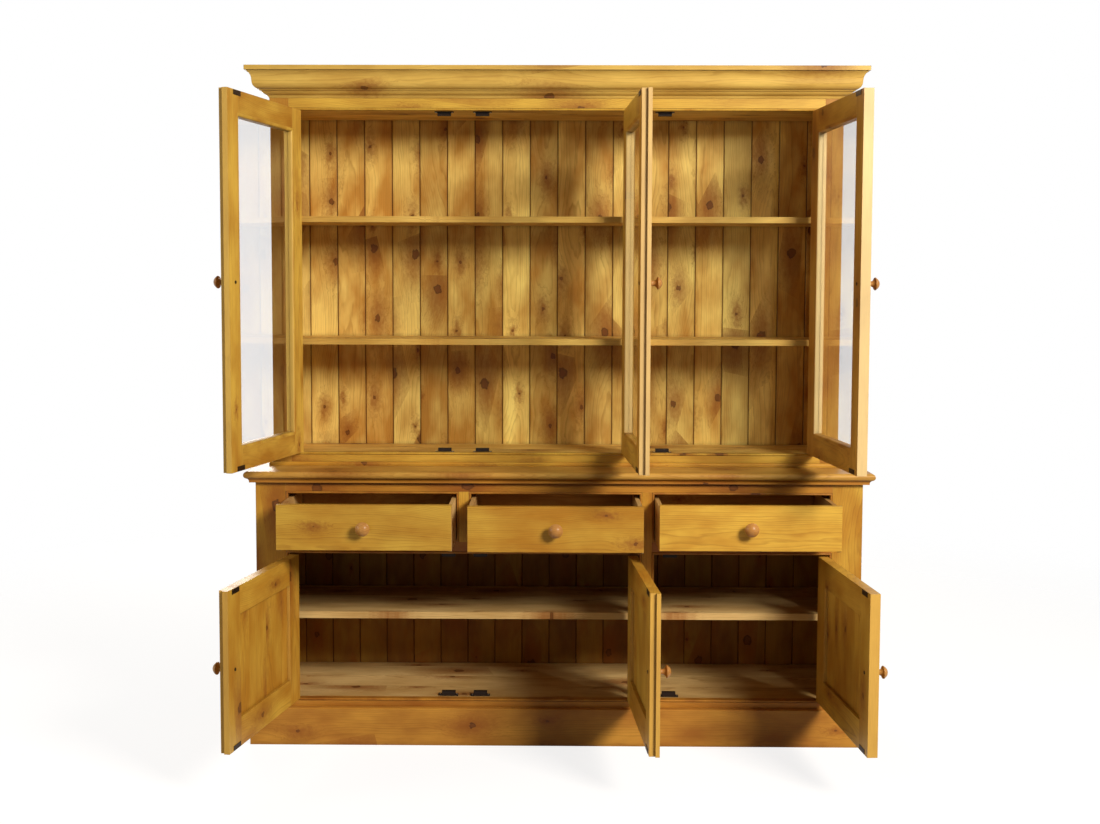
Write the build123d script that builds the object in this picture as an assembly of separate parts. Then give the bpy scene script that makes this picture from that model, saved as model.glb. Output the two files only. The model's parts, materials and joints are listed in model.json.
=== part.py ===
from build123d import *
import os
from collections import namedtuple
from math import sqrt

os.makedirs("parts", exist_ok=True)

# A two-part pine china cabinet: a shallow glazed hutch standing on a deeper base that has three
# drawers over three panelled doors. Lengths are in millimetres and angles in degrees.
# X runs to the right, Y to the back and Z up. The origin is on the floor, at the middle of the
# base's width, in the underside of the front plinth board.

# Boards and depths shared by the base and the hutch
carcass_depth = 412
side_thickness = 20
back_thickness = 12
frame_thickness = 22
bead_width = 7
bead_proud = 1

# Base carcass
base_width = 1770
plinth_height = 110
plinth_thickness = 20
plinth_chamfer = 2
base_stile = 94.5
base_post = 43
base_right_bay = 511
base_bottom_rail = 24
rail_behind_plinth = 30
lower_door_opening = 432
mid_rail = 42
drawer_opening = 134
base_top_rail = 46
base_floor_thickness = 18
base_shelf_thickness = 20
base_shelf_height = 365
base_shelf_setback = 12

# Worktop and the moulding under its nose
worktop_thickness = 21
worktop_overhang = 30
nose_radius = 10.4
worktop_moulding_height = 12
worktop_moulding_foot = 16
worktop_moulding_reach = 22
worktop_moulding_fillet = 3.5
worktop_moulding_hollow = 1.6

# Hutch carcass, set back on the worktop and standing a little left of its middle
hutch_width = 1695
hutch_offset = -10
hutch_setback = 125
hutch_stile = 63
hutch_post = 43
hutch_right_bay = 511
hutch_bottom_rail = 40
upper_door_opening = 1015
frieze_height = 111
hutch_floor_thickness = 18
hutch_floor_drop = 4
hutch_top_thickness = 18
hutch_top_rise = 2
hutch_shelf_thickness = 18
hutch_lower_shelf_height = 362
hutch_upper_shelf_height = 728
hutch_shelf_clearance = 4
foot_moulding_height = 12
foot_moulding_reach = 10
foot_moulding_radius = 6

# Cornice: how far each member of its section runs out and up, from the foot, and how its arcs bulge
cornice_rise = 12
cornice_bevel_out = 5
cornice_bevel_up = 8
cornice_bead_out = 15
cornice_bead_up = 11
cornice_quirk_out = 4
cornice_quirk_up = 1
cornice_fillet_out = 2
cornice_fillet_up = 3
cornice_ovolo_out = 17
cornice_ovolo_up = 17
cornice_neck_out = 1
cornice_neck_up = 10
cornice_hollow_out = 11
cornice_hollow_up = 22
cornice_chamfer_out = 1
cornice_chamfer_up = 3
cornice_soffit = 6
cornice_fascia = 13
cornice_bead_bulge = 1.9
cornice_ovolo_bulge = 4
cornice_hollow_bulge = 2.6

# Tongued and grooved boards of the two backs
board_pitch = 87
board_groove = 2.5
base_first_board = 55
hutch_first_board = 50.5

# Doors
door_thickness = 27
door_gap = 2
meeting_gap = 2
meeting_lap = 8
outer_lip = 11
lip_play = 1
lower_door_member = 76
upper_door_member = 68
panel_groove = 9
panel_tongue = 8
panel_tongue_front = 10
panel_field_rise = 5
panel_bevel = 34
panel_expansion = 1
glass_thickness = 3
glass_front = 10
glass_rebate = 9
glass_play = 0.5
glazing_bead_radius = 6
closing_angle = 110

# How far each door and drawer stands open in the photograph
lower_left_door_angle = 100.5
lower_middle_door_angle = 93.3
lower_right_door_angle = 94.3
upper_left_door_angle = 101.9
upper_middle_door_angle = 92.5
upper_right_door_angle = 94.6
left_drawer_pull = 195
middle_drawer_pull = 213
right_drawer_pull = 183
drawer_full_pull = 300

# Butt hinges
hinge_length = 63
hinge_inset = 70
hinge_leaf = 1.6
hinge_recess = 1
hinge_leaf_depth = 18
knuckle_radius = 4.5
knuckle_count = 5
knuckle_gap = 0.3
hinge_axis_out = 5
pin_radius = 2.2
pin_clearance = 0.05
pin_tip_radius = 3.4
pin_tip_height = 2

# Magnetic catches and their strike plates
catch_width = 40
catch_depth = 15
catch_height = 14
catch_flange_width = 56
catch_flange_thickness = 4
catch_screw_radius = 1.5
catch_screw_head = 2.8
catch_screw_head_height = 1.2
catch_screw_bite = 11
strike_width = 46
strike_height = 13
strike_thickness = 1.2
strike_edge = 1
strike_air = 0.4
lower_catch_offset = 47
upper_catch_offset = 57
single_catch_offset = 49

# Turned knobs and their screws
door_knob_radius = 17
door_knob_length = 34
door_knob_neck = 7
door_knob_foot = 9.5
door_knob_rise = 20
drawer_knob_radius = 20
drawer_knob_length = 38
drawer_knob_neck = 8
drawer_knob_foot = 11
drawer_knob_rise = 23
knob_foot_height = 2.5
knob_rim_height = 5
knob_rim_roll = 1.8
screw_radius = 2
screw_head_radius = 4.5
screw_head_height = 1.5
screw_hole_play = 0.2
screw_bite = 12

# Drawers and what they run on
drawer_front_thickness = 22
drawer_side_gap = 1.5
drawer_front_gap = 3.5
drawer_side_thickness = 12
drawer_front_lap = 8
drawer_back_gap = 30
drawer_side_drop = 8
drawer_back_drop = 10
drawer_bottom_thickness = 6
drawer_bottom_lift = 7
drawer_groove = 5
running_gap = 0.3
runner_width = 14
runner_height = 22
runner_guide_height = 20
bearer_thickness = 20
bearer_depth = 60

# Planes worked out from those values
base_front = plinth_thickness / 2
frame_back = base_front + frame_thickness
carcass_back = base_front + carcass_depth
back_face = carcass_back - back_thickness
base_left = -base_width / 2
base_right = base_width / 2
base_floor_top = plinth_height + base_bottom_rail
lower_opening_top = base_floor_top + lower_door_opening
drawer_floor = lower_opening_top + mid_rail
drawer_ceiling = drawer_floor + drawer_opening
base_top = drawer_ceiling + base_top_rail
worktop_top = base_top + worktop_thickness
hutch_front = base_front + hutch_setback
hutch_frame_back = hutch_front + frame_thickness
hutch_left = hutch_offset - hutch_width / 2
hutch_right = hutch_offset + hutch_width / 2
upper_opening_bottom = worktop_top + hutch_bottom_rail
upper_opening_top = upper_opening_bottom + upper_door_opening
hutch_top = upper_opening_top + frieze_height
hutch_ceiling = upper_opening_top + hutch_top_rise
hutch_floor_top = upper_opening_bottom - hutch_floor_drop

Bay = namedtuple("Bay", "left right")
base_left_bay = Bay(base_left + base_stile, base_right - base_stile - base_right_bay - base_post)
base_right_bay_span = Bay(base_left_bay.right + base_post, base_right - base_stile)
half_bay = (base_left_bay.right - base_left_bay.left - base_post) / 2
left_drawer_bay = Bay(base_left_bay.left, base_left_bay.left + half_bay)
middle_drawer_bay = Bay(base_left_bay.right - half_bay, base_left_bay.right)
hutch_left_bay = Bay(hutch_left + hutch_stile, hutch_right - hutch_stile - hutch_right_bay - hutch_post)
hutch_right_bay_span = Bay(hutch_left_bay.right + hutch_post, hutch_right - hutch_stile)

nodes = {}


def keep(node, *shapes):
    """Adds the solids of these shapes to a node."""
    for shape in shapes:
        nodes.setdefault(node, []).extend(shape.solids())


def block(x0, x1, y0, y1, z0, z1):
    """A square-edged board between two opposite corners."""
    return Pos(x0, y0, z0) * Box(x1 - x0, y1 - y0, z1 - z0, align=(Align.MIN, Align.MIN, Align.MIN))


def prism(points, direction, length):
    """A flat outline given as points in space, carried along a direction."""
    return extrude(make_face(Polyline(*points, close=True)), length, dir=direction)


def moulding(profile, left, right, front, back, reach, bottom, top):
    """Front run and two returns of a moulding, mitred at the corners.

    The profile is a face with its first axis outwards from the carcass and its second axis up.
    """
    depth = back - front + reach
    front_run = Plane((right + reach, front, 0), x_dir=(0, -1, 0), z_dir=(-1, 0, 0)) * profile
    left_run = Plane((left, front - reach, 0), x_dir=(-1, 0, 0), z_dir=(0, 1, 0)) * profile
    right_run = Plane((right, back, 0), x_dir=(1, 0, 0), z_dir=(0, -1, 0)) * profile
    near = front - reach
    plans = (
        [(left - reach, near), (right + reach, near), (right, front), (left, front)],
        [(left - reach, near), (left, front), (left, back), (left - reach, back)],
        [(right + reach, near), (right, front), (right, back), (right + reach, back)],
    )
    runs = (
        extrude(front_run, right - left + 2 * reach),
        extrude(left_run, depth),
        extrude(right_run, depth),
    )
    mitres = [prism([(x, y, bottom) for x, y in plan], (0, 0, 1), top - bottom) for plan in plans]
    return [run & mitre for run, mitre in zip(runs, mitres)]


def ring_of_strips(profile, width, left, right, bottom, top, front, back):
    """Four mitred strips round the inside of an upright rectangle.

    The profile's first axis points into the rectangle and its second axis to the back.
    """
    corners = [(left, bottom), (right, bottom), (right, top), (left, top)]
    inner = [
        (left + width, bottom + width),
        (right - width, bottom + width),
        (right - width, top - width),
        (left + width, top - width),
    ]
    inwards = [(0, 0, 1), (-1, 0, 0), (0, 0, -1), (1, 0, 0)]
    strips = []
    for side, inward in enumerate(inwards):
        following = (side + 1) % len(corners)
        start = Vector(corners[following][0], 0, corners[following][1])
        end = Vector(corners[side][0], 0, corners[side][1])
        plane = Plane(start, x_dir=inward, z_dir=end - start)
        outline = [corners[side], corners[following], inner[following], inner[side]]
        mitre = prism([(x, front, z) for x, z in outline], (0, 1, 0), back - front)
        strips.append(extrude(plane * profile, (end - start).length) & mitre)
    return strips


def boards(left, right, first, bottom, top):
    """Upright tongued and grooved boards, each with its two front edges chamfered."""
    row = []
    x = left
    edge = left + first
    while x < right:
        board = block(x, min(edge, right), back_face, carcass_back, bottom, top)
        front_edges = board.edges().filter_by(Axis.Z).group_by(Axis.Y)[0]
        row.append(chamfer(front_edges, board_groove))
        x = edge
        edge = edge + board_pitch
    return row


def knob(radius, length, neck, foot, rise):
    """A turned mushroom knob on the origin, standing out along -Y."""
    edge = radius - knob_rim_roll
    crown = length - rise - knob_rim_height
    dome = (crown**2 + edge**2) / (2 * crown)
    shoulder = (edge / 2, length - dome + sqrt(dome**2 - (edge / 2) ** 2))
    waist = (neck, (knob_foot_height + rise) / 2)
    rim = (edge, rise + knob_rim_height)
    outline = [
        Polyline((0, length), (0, 0), (foot, 0), (foot, knob_foot_height)),
        ThreePointArc((foot, knob_foot_height), waist, (edge, rise)),
        ThreePointArc((edge, rise), (radius, rise + knob_rim_height / 2), rim),
        ThreePointArc(rim, shoulder, (0, length)),
    ]
    return Rot(180, 0, 0) * revolve(make_face(outline), Axis.Y)


def rod(radius, x, z, y0, y1):
    """A round rod along Y."""
    return Pos(x, y0, z) * Rot(-90, 0, 0) * Cylinder(
        radius, y1 - y0, align=(Align.CENTER, Align.CENTER, Align.MIN)
    )


# Face frame beads: a half-round strip set into each opening of both face frames
bead_outline = [
    Line((bead_width, bead_width / 2 - bead_proud), (bead_width, frame_thickness)),
    Line((bead_width, frame_thickness), (0, frame_thickness)),
    Line((0, frame_thickness), (0, bead_width / 2 - bead_proud)),
    ThreePointArc(
        (0, bead_width / 2 - bead_proud),
        (bead_width / 2, -bead_proud),
        (bead_width, bead_width / 2 - bead_proud),
    ),
]
bead_profile = make_face(bead_outline)


def opening_beads(bay, bottom, top, front):
    """The four beads of one opening, given by its clear size."""
    return ring_of_strips(
        Pos(0, front) * bead_profile,
        bead_width,
        bay.left - bead_width,
        bay.right + bead_width,
        bottom - bead_width,
        top + bead_width,
        front - bead_proud,
        front + frame_thickness,
    )


# Base carcass: two sides, with a floor and a shelf that run from one to the other, and a back
inside_left = base_left + side_thickness
inside_right = base_right - side_thickness
keep(
    "base_sides",
    block(base_left, inside_left, frame_back, carcass_back, 0, base_top),
    block(inside_right, base_right, frame_back, carcass_back, 0, base_top),
)
base_floor_bottom = base_floor_top - base_floor_thickness
keep(
    "base_floor",
    block(inside_left, inside_right, frame_back, back_face, base_floor_bottom, base_floor_top),
)
shelf_front = frame_back + base_shelf_setback
shelf_top = base_shelf_height + base_shelf_thickness
keep(
    "base_shelf",
    block(inside_left, inside_right, shelf_front, back_face, base_shelf_height, shelf_top),
)
back_bottom = plinth_height - rail_behind_plinth
keep("base_back_boards", *boards(inside_left, inside_right, base_first_board, back_bottom, base_top))

# Base face frame: stiles and posts, then the rails between them
keep(
    "base_stiles",
    block(base_left, base_left_bay.left - bead_width, base_front, frame_back, 0, base_top),
    block(base_right_bay_span.right + bead_width, base_right, base_front, frame_back, 0, base_top),
    block(
        base_left_bay.right + bead_width,
        base_right_bay_span.left - bead_width,
        base_front,
        frame_back,
        base_floor_top - bead_width,
        drawer_ceiling + bead_width,
    ),
    block(
        left_drawer_bay.right + bead_width,
        middle_drawer_bay.left - bead_width,
        base_front,
        frame_back,
        drawer_floor - bead_width,
        drawer_ceiling + bead_width,
    ),
)


def frame_rail(left_bay, right_bay, front, bottom, top):
    """A rail of a face frame, from the first bay's left stile to the last bay's right stile."""
    return block(
        left_bay.left - bead_width,
        right_bay.right + bead_width,
        front,
        front + frame_thickness,
        bottom,
        top,
    )


mid_rail_bottom = lower_opening_top + bead_width
mid_rail_top = drawer_floor - bead_width
keep(
    "base_rails",
    frame_rail(base_left_bay, base_right_bay_span, base_front, drawer_ceiling + bead_width, base_top),
    frame_rail(base_left_bay, base_right_bay_span, base_front, back_bottom, base_floor_top - bead_width),
    frame_rail(base_left_bay, base_left_bay, base_front, mid_rail_bottom, mid_rail_top),
    frame_rail(base_right_bay_span, base_right_bay_span, base_front, mid_rail_bottom, mid_rail_top),
)

# Plinth: three boards mitred round the foot of the base
plinth_outline = Polyline(
    (0, 0),
    (plinth_thickness, 0),
    (plinth_thickness, plinth_height - plinth_chamfer),
    (plinth_thickness - plinth_chamfer, plinth_height),
    (0, plinth_height),
    close=True,
)
keep(
    "plinth",
    *moulding(
        make_face(plinth_outline),
        base_left,
        base_right,
        base_front,
        carcass_back,
        plinth_thickness,
        0,
        plinth_height,
    ),
)

# Worktop: one board whose front and two ends are rounded to a nose
worktop_front = base_front - worktop_overhang
worktop_left = base_left - worktop_overhang
worktop_right = base_right + worktop_overhang


def rounded_board(left, right, bottom, top, round_right):
    """The section of the worktop, rounded at its left end and, if asked, at its right end."""
    section = Pos(left, bottom) * Rectangle(right - left, top - bottom, align=(Align.MIN, Align.MIN))
    ends = section.vertices().group_by(Axis.X)
    rounded = ends[0] + ends[-1] if round_right else ends[0]
    return fillet(rounded, nose_radius)


front_section = rounded_board(worktop_front, carcass_back, base_top, worktop_top, False)
end_section = rounded_board(worktop_left, worktop_right, base_top, worktop_top, True)
long_way = extrude(
    Plane((worktop_left, 0, 0), x_dir=(0, 1, 0), z_dir=(1, 0, 0)) * front_section,
    worktop_right - worktop_left,
)
short_way = extrude(
    Plane((0, carcass_back, 0), x_dir=(1, 0, 0), z_dir=(0, -1, 0)) * end_section,
    carcass_back - worktop_front,
)
keep("worktop", long_way & short_way)

# Worktop moulding: a square fillet below and a cove that runs up to the worktop's underside
moulding_bottom = base_top - worktop_moulding_height
fillet_top = moulding_bottom + worktop_moulding_fillet
worktop_moulding_outline = [
    Polyline(
        (worktop_moulding_reach, base_top),
        (0, base_top),
        (0, moulding_bottom),
        (worktop_moulding_foot, moulding_bottom),
        (worktop_moulding_foot, fillet_top),
    ),
    SagittaArc(
        (worktop_moulding_foot, fillet_top),
        (worktop_moulding_reach, base_top),
        worktop_moulding_hollow,
    ),
]
keep(
    "worktop_moulding",
    *moulding(
        make_face(worktop_moulding_outline),
        base_left,
        base_right,
        base_front,
        carcass_back,
        worktop_moulding_reach,
        moulding_bottom,
        base_top,
    ),
)

# Hutch carcass: two sides, with a floor, a top and two shelves between them, and a back
hutch_inside_left = hutch_left + side_thickness
hutch_inside_right = hutch_right - side_thickness
keep(
    "hutch_sides",
    block(hutch_left, hutch_inside_left, hutch_frame_back, carcass_back, worktop_top, hutch_top),
    block(hutch_inside_right, hutch_right, hutch_frame_back, carcass_back, worktop_top, hutch_top),
)
keep(
    "hutch_floor",
    block(
        hutch_inside_left,
        hutch_inside_right,
        hutch_frame_back,
        back_face,
        hutch_floor_top - hutch_floor_thickness,
        hutch_floor_top,
    ),
)
keep(
    "hutch_top_board",
    block(
        hutch_inside_left,
        hutch_inside_right,
        hutch_frame_back,
        back_face,
        hutch_ceiling,
        hutch_ceiling + hutch_top_thickness,
    ),
)
hutch_shelf_front = hutch_front + door_thickness + hutch_shelf_clearance
for height in (hutch_lower_shelf_height, hutch_upper_shelf_height):
    shelf_bottom = worktop_top + height
    keep(
        "hutch_shelves",
        block(
            hutch_inside_left,
            hutch_inside_right,
            hutch_shelf_front,
            back_face,
            shelf_bottom,
            shelf_bottom + hutch_shelf_thickness,
        ),
    )
keep(
    "hutch_back_boards",
    *boards(hutch_inside_left, hutch_inside_right, hutch_first_board, worktop_top, hutch_top),
)

# Hutch face frame
keep(
    "hutch_stiles",
    block(
        hutch_left,
        hutch_left_bay.left - bead_width,
        hutch_front,
        hutch_frame_back,
        worktop_top,
        hutch_top,
    ),
    block(
        hutch_right_bay_span.right + bead_width,
        hutch_right,
        hutch_front,
        hutch_frame_back,
        worktop_top,
        hutch_top,
    ),
    block(
        hutch_left_bay.right + bead_width,
        hutch_right_bay_span.left - bead_width,
        hutch_front,
        hutch_frame_back,
        upper_opening_bottom - bead_width,
        upper_opening_top + bead_width,
    ),
)
keep(
    "hutch_rails",
    frame_rail(
        hutch_left_bay,
        hutch_right_bay_span,
        hutch_front,
        worktop_top,
        upper_opening_bottom - bead_width,
    ),
    frame_rail(
        hutch_left_bay,
        hutch_right_bay_span,
        hutch_front,
        upper_opening_top + bead_width,
        hutch_top,
    ),
)

# Hutch foot moulding: a rounded strip that covers the joint with the worktop
foot_outline = [
    Polyline(
        (foot_moulding_reach - foot_moulding_radius, worktop_top + foot_moulding_height),
        (0, worktop_top + foot_moulding_height),
        (0, worktop_top),
        (foot_moulding_reach, worktop_top),
        (foot_moulding_reach, worktop_top + foot_moulding_height - foot_moulding_radius),
    ),
    RadiusArc(
        (foot_moulding_reach, worktop_top + foot_moulding_height - foot_moulding_radius),
        (foot_moulding_reach - foot_moulding_radius, worktop_top + foot_moulding_height),
        -foot_moulding_radius,
    ),
]
keep(
    "hutch_foot_moulding",
    *moulding(
        make_face(foot_outline),
        hutch_left,
        hutch_right,
        hutch_front,
        carcass_back,
        foot_moulding_reach,
        worktop_top,
        worktop_top + foot_moulding_height,
    ),
)

# Cornice: from below, a bevel, a bead, a fillet, an ovolo, a hollow and a square fascia
cornice_members = (
    (cornice_bevel_out, cornice_bevel_up),
    (cornice_bead_out, cornice_bead_up),
    (cornice_quirk_out, cornice_quirk_up),
    (cornice_fillet_out, cornice_fillet_up),
    (cornice_ovolo_out, cornice_ovolo_up),
    (cornice_neck_out, cornice_neck_up),
    (cornice_hollow_out, cornice_hollow_up),
    (cornice_chamfer_out, cornice_chamfer_up),
    (cornice_soffit, 0),
    (0, cornice_fascia),
)
cornice_bulges = {1: cornice_bead_bulge, 4: cornice_ovolo_bulge, 6: -cornice_hollow_bulge}
cornice_height = sum(up for out, up in cornice_members)
cornice_reach = sum(out for out, up in cornice_members)
cornice_top = hutch_top + cornice_rise
cornice_bottom = cornice_top - cornice_height
cornice_outline = [Polyline((cornice_reach, cornice_top), (0, cornice_top), (0, cornice_bottom))]
corner = Vector(0, cornice_bottom)
for member, step in enumerate(cornice_members):
    following = corner + Vector(*step)
    if member in cornice_bulges:
        cornice_outline.append(SagittaArc(corner, following, -cornice_bulges[member]))
    else:
        cornice_outline.append(Line(corner, following))
    corner = following
keep(
    "cornice",
    *moulding(
        make_face(cornice_outline),
        hutch_left,
        hutch_right,
        hutch_front,
        carcass_back,
        cornice_reach,
        cornice_bottom,
        cornice_top,
    ),
)

# Drawer bearers across the base, and the runners and guides that they carry
runner_bottom = lower_opening_top + bearer_thickness
for near in (frame_back, back_face - bearer_depth):
    keep(
        "drawer_runners",
        block(inside_left, inside_right, near, near + bearer_depth, lower_opening_top, runner_bottom),
    )
runner_top = drawer_floor


def runner(left, right):
    """A runner under the drawers' sides, with a guide on top that is just clear of them.

    Left and right are the guide's edges, and the runner reaches under the drawer on each side.
    """
    low = max(left - runner_width, inside_left)
    high = min(right + runner_width, inside_right)
    keep(
        "drawer_runners",
        block(low, high, frame_back, back_face, runner_bottom, runner_top),
        block(left, right, frame_back, back_face, runner_top, runner_top + runner_guide_height),
    )


runner(inside_left, left_drawer_bay.left)
runner(left_drawer_bay.right, middle_drawer_bay.left)
runner(middle_drawer_bay.right, base_right_bay_span.left)
runner(base_right_bay_span.right, inside_right)


# Drawers: a thick front, two lapped sides, a back and a bottom let into grooves
def drawer(name, bay, pull):
    """One drawer, made shut and then pulled out by the length that the photograph shows."""
    left = bay.left + drawer_side_gap
    right = bay.right - drawer_side_gap
    front_bottom = drawer_floor + drawer_front_gap
    front_top = drawer_ceiling - drawer_front_gap
    side_bottom = drawer_floor + running_gap
    side_top = front_top - drawer_side_drop
    bottom_low = side_bottom + drawer_bottom_lift
    bottom_high = bottom_low + drawer_bottom_thickness
    side_front = base_front + drawer_front_lap
    front_back = base_front + drawer_front_thickness
    box_back = back_face - drawer_back_gap
    inner_left = left + drawer_side_thickness
    inner_right = right - drawer_side_thickness
    bottom = block(
        inner_left - drawer_groove,
        inner_right + drawer_groove,
        front_back - drawer_groove,
        box_back,
        bottom_low,
        bottom_high,
    )
    side_boards = [
        block(left, inner_left, side_front, box_back, side_bottom, side_top),
        block(inner_right, right, side_front, box_back, side_bottom, side_top),
    ]
    front = block(left, right, base_front, front_back, front_bottom, front_top)
    for cut in (*side_boards, bottom):
        front = front - cut
    middle = ((left + right) / 2, (front_bottom + front_top) / 2)
    hole = rod(screw_radius + screw_hole_play, *middle, base_front, front_back)
    turned = Pos(middle[0], base_front, middle[1]) * knob(
        drawer_knob_radius,
        drawer_knob_length,
        drawer_knob_neck,
        drawer_knob_foot,
        drawer_knob_rise,
    )
    screw = knob_screw(*middle, front_back)
    back = block(
        inner_left,
        inner_right,
        box_back - drawer_side_thickness,
        box_back,
        bottom_high,
        side_top - drawer_back_drop,
    )
    box = [board - bottom for board in side_boards] + [back, bottom]
    out = Pos(0, -pull, 0)
    keep(name + "_front", out * (front - hole))
    keep(name + "_box", *[out * board for board in box])
    keep(name + "_knob", out * (turned - screw), out * screw)


def knob_screw(x, z, inner_face):
    """A knob's screw: a head on the inner face and a shank that bites into the knob."""
    shank = rod(screw_radius, x, z, base_front - screw_bite, inner_face)
    return shank + rod(screw_head_radius, x, z, inner_face, inner_face + screw_head_height)


drawer("left_drawer", left_drawer_bay, left_drawer_pull)
drawer("middle_drawer", middle_drawer_bay, middle_drawer_pull)
drawer("right_drawer", base_right_bay_span, right_drawer_pull)


# Butt hinges, drawn from the door's hinge edge at x 0, its face at y 0 and the hinge's foot at z 0
knuckle_pitch = hinge_length / knuckle_count
axis_x = -door_gap / 2


def leaf(x0, own_knuckles):
    """One hinge leaf with its own knuckles, bored for the pin."""
    x1 = x0 + hinge_leaf
    plate = block(x0, x1, 0, hinge_leaf_depth, 0, hinge_length)
    for knuckle in own_knuckles:
        low = knuckle * knuckle_pitch + knuckle_gap / 2
        high = (knuckle + 1) * knuckle_pitch - knuckle_gap / 2
        barrel = Pos(axis_x, -hinge_axis_out, low) * Cylinder(
            knuckle_radius, high - low, align=(Align.CENTER, Align.CENTER, Align.MIN)
        )
        plate = plate + barrel + block(x0, x1, -hinge_axis_out, 0, low, high)
    bore = Pos(axis_x, -hinge_axis_out, 0) * Cylinder(
        pin_radius + pin_clearance, hinge_length, align=(Align.CENTER, Align.CENTER, Align.MIN)
    )
    return plate - bore


def hinge_pin():
    """The hinge's loose pin with a button tip at each end."""
    low = knuckle_gap / 2
    high = hinge_length - knuckle_gap / 2
    align = (Align.CENTER, Align.CENTER, Align.MIN)
    shaft = Pos(0, 0, low) * Cylinder(pin_radius, high - low, align=align)
    lower_tip = Pos(0, 0, low - pin_tip_height) * Cylinder(pin_tip_radius, pin_tip_height, align=align)
    upper_tip = Pos(0, 0, high) * Cylinder(pin_tip_radius, pin_tip_height, align=align)
    return Pos(axis_x, -hinge_axis_out, 0) * (shaft + lower_tip + upper_tip)


door_leaf = leaf(hinge_recess - hinge_leaf, range(1, knuckle_count, 2))
frame_leaf = leaf(-door_gap - hinge_recess, range(0, knuckle_count, 2))
pin = hinge_pin()


def leaf_seat(x0):
    """The shallow recess that lets a leaf into the wood."""
    return block(x0, x0 + hinge_leaf, -hinge_axis_out, hinge_leaf_depth, 0, hinge_length)


# Glazing beads: a quarter-round strip that holds the glass from inside the door
glazing_depth = door_thickness - glass_front - glass_thickness
bead_shoulder = glazing_depth - glazing_bead_radius
glazing_outline = [
    Polyline(
        (glass_rebate, bead_shoulder),
        (glass_rebate, 0),
        (0, 0),
        (0, glazing_depth),
        (glass_rebate - glazing_bead_radius, glazing_depth),
    ),
    RadiusArc(
        (glass_rebate - glazing_bead_radius, glazing_depth),
        (glass_rebate, bead_shoulder),
        glazing_bead_radius,
    ),
]
glazing_profile = make_face(glazing_outline)

Level = namedtuple("Level", "name front bottom opening floor ceiling left_bay right_bay member glazed catch")
Door = namedtuple("Door", "name level hand jamb width lip strike opened")

lower_level = Level(
    "lower",
    base_front,
    base_floor_top,
    lower_door_opening,
    base_floor_top,
    lower_opening_top,
    base_left_bay,
    base_right_bay_span,
    lower_door_member,
    False,
    lower_catch_offset,
)
upper_level = Level(
    "upper",
    hutch_front,
    upper_opening_bottom,
    upper_door_opening,
    hutch_floor_top,
    hutch_ceiling,
    hutch_left_bay,
    hutch_right_bay_span,
    upper_door_member,
    True,
    upper_catch_offset,
)
lower_angles = (lower_left_door_angle, lower_middle_door_angle, lower_right_door_angle)
upper_angles = (upper_left_door_angle, upper_middle_door_angle, upper_right_door_angle)
meeting_reach = (meeting_lap - meeting_gap) / 2

# A pair of doors with lapping lips closes the left bay, and a single door the right bay. Hand is 1
# where the hinges are on the left and -1 where they are on the right.
doors = []
for level, angles in ((lower_level, lower_angles), (upper_level, upper_angles)):
    left_bay, right_bay = level.left_bay, level.right_bay
    pair = (left_bay.right - left_bay.left) / 2 - door_gap + meeting_reach
    single = right_bay.right - right_bay.left - 2 * door_gap
    pair_strike = level.catch + meeting_reach
    single_strike = single_catch_offset - door_gap
    left, middle, right = (level.name + place for place in ("_left_door", "_middle_door", "_right_door"))
    doors.append(Door(left, level, 1, left_bay.left, pair, "inner", pair_strike, angles[0]))
    doors.append(Door(middle, level, -1, left_bay.right, pair, "outer", pair_strike, angles[1]))
    doors.append(Door(right, level, -1, right_bay.right, single, None, single_strike, angles[2]))


def door_height(door):
    """The height of a door, with its gap at the foot and at the head."""
    return door.level.opening - 2 * door_gap


def hinge_line(door):
    """A point on the door's hinge line, at the foot of the door."""
    x = door.jamb + door.hand * door_gap / 2
    return (x, door.level.front - hinge_axis_out, door.level.bottom + door_gap)


def hinge_feet(door):
    """The foot of each of a door's two hinges, above the foot of the door."""
    return (hinge_inset, door_height(door) - hinge_inset - hinge_length)


def shut(door, shape):
    """Takes a shape from the door's own place to where it is in the shut door."""
    if door.hand < 0:
        shape = mirror(shape, about=Plane.YZ)
    x = door.jamb + door.hand * door_gap
    return Pos(x, door.level.front, door.level.bottom + door_gap) * shape


def opened(door, shape):
    """Takes a shape from the door's own place to where it stands open in the cabinet."""
    return shut(door, shape).rotate(Axis(hinge_line(door), (0, 0, 1)), -door.hand * door.opened)


def door_members(door):
    """The two stiles of a door and, between them, its two rails."""
    member = door.level.member
    height = door_height(door)
    stile_edge = door.width - member
    if door.lip:
        stile_edge = stile_edge - meeting_lap / 2
    stile = block(0, member, 0, door_thickness, 0, height)
    meeting = block(stile_edge, door.width, 0, door_thickness, 0, height)
    lap_edge = door.width - meeting_lap
    if door.lip == "inner":
        meeting = meeting - block(lap_edge, door.width, 0, outer_lip + lip_play, 0, height)
    if door.lip == "outer":
        meeting = meeting - block(lap_edge, door.width, outer_lip, door_thickness, 0, height)
    low_rail = block(member, stile_edge, 0, door_thickness, 0, member)
    high_rail = block(member, stile_edge, 0, door_thickness, height - member, height)
    return [stile, meeting, low_rail, high_rail]


def raised_panel(left, right, bottom, top):
    """A fielded panel: a tongue all round, a bevel and a raised field that faces the room."""
    edge = panel_groove - panel_expansion
    tongue_back = panel_tongue_front + panel_tongue
    slab = block(left - edge, right + edge, panel_tongue_front, tongue_back, bottom - edge, top + edge)
    middle = ((left + right) / 2, panel_tongue_front, (bottom + top) / 2)
    face = Plane(middle, x_dir=(1, 0, 0), z_dir=(0, -1, 0))
    width = right - left
    height = top - bottom
    bevel_edge = face * Rectangle(width, height)
    field = Rectangle(width - 2 * panel_bevel, height - 2 * panel_bevel)
    return slab + loft([bevel_edge, face.offset(panel_field_rise) * field], ruled=True)


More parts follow.
